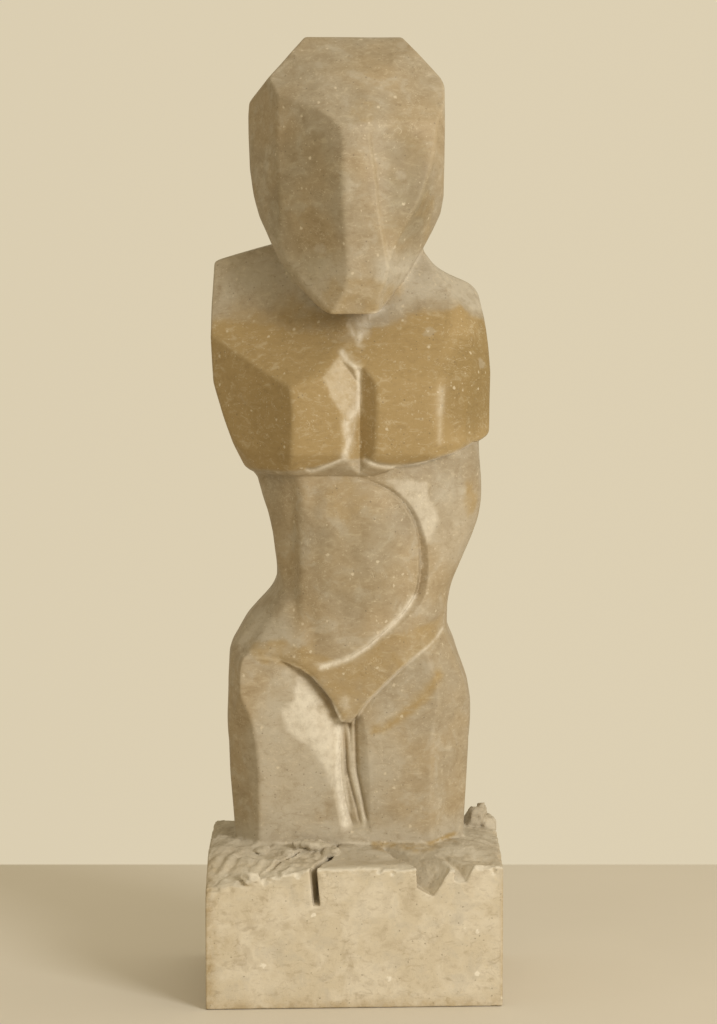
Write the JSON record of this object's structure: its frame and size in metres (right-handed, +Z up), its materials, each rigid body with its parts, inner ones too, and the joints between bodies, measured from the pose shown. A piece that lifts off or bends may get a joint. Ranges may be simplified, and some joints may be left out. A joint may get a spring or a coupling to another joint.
{
  "type": "carved stone torso on a plinth",
  "caption": "Free-standing stone figure: faceted head, armless torso and thighs growing out of a rough-topped plinth, all one block.",
  "frame": {"origin": "middle of the plinth's underside", "axes": "+Z up, the figure faces -Y, +X is the viewer's right"},
  "size_m": [0.15, 0.13, 0.488],
  "materials": {
    "fossil_limestone": "rubbed smooth on the figure, sawn on the plinth's sides, broken on its top"
  },
  "bodies": {
    "root": {"stone_torso": "fossil_limestone"}
  },
  "joints": []
}
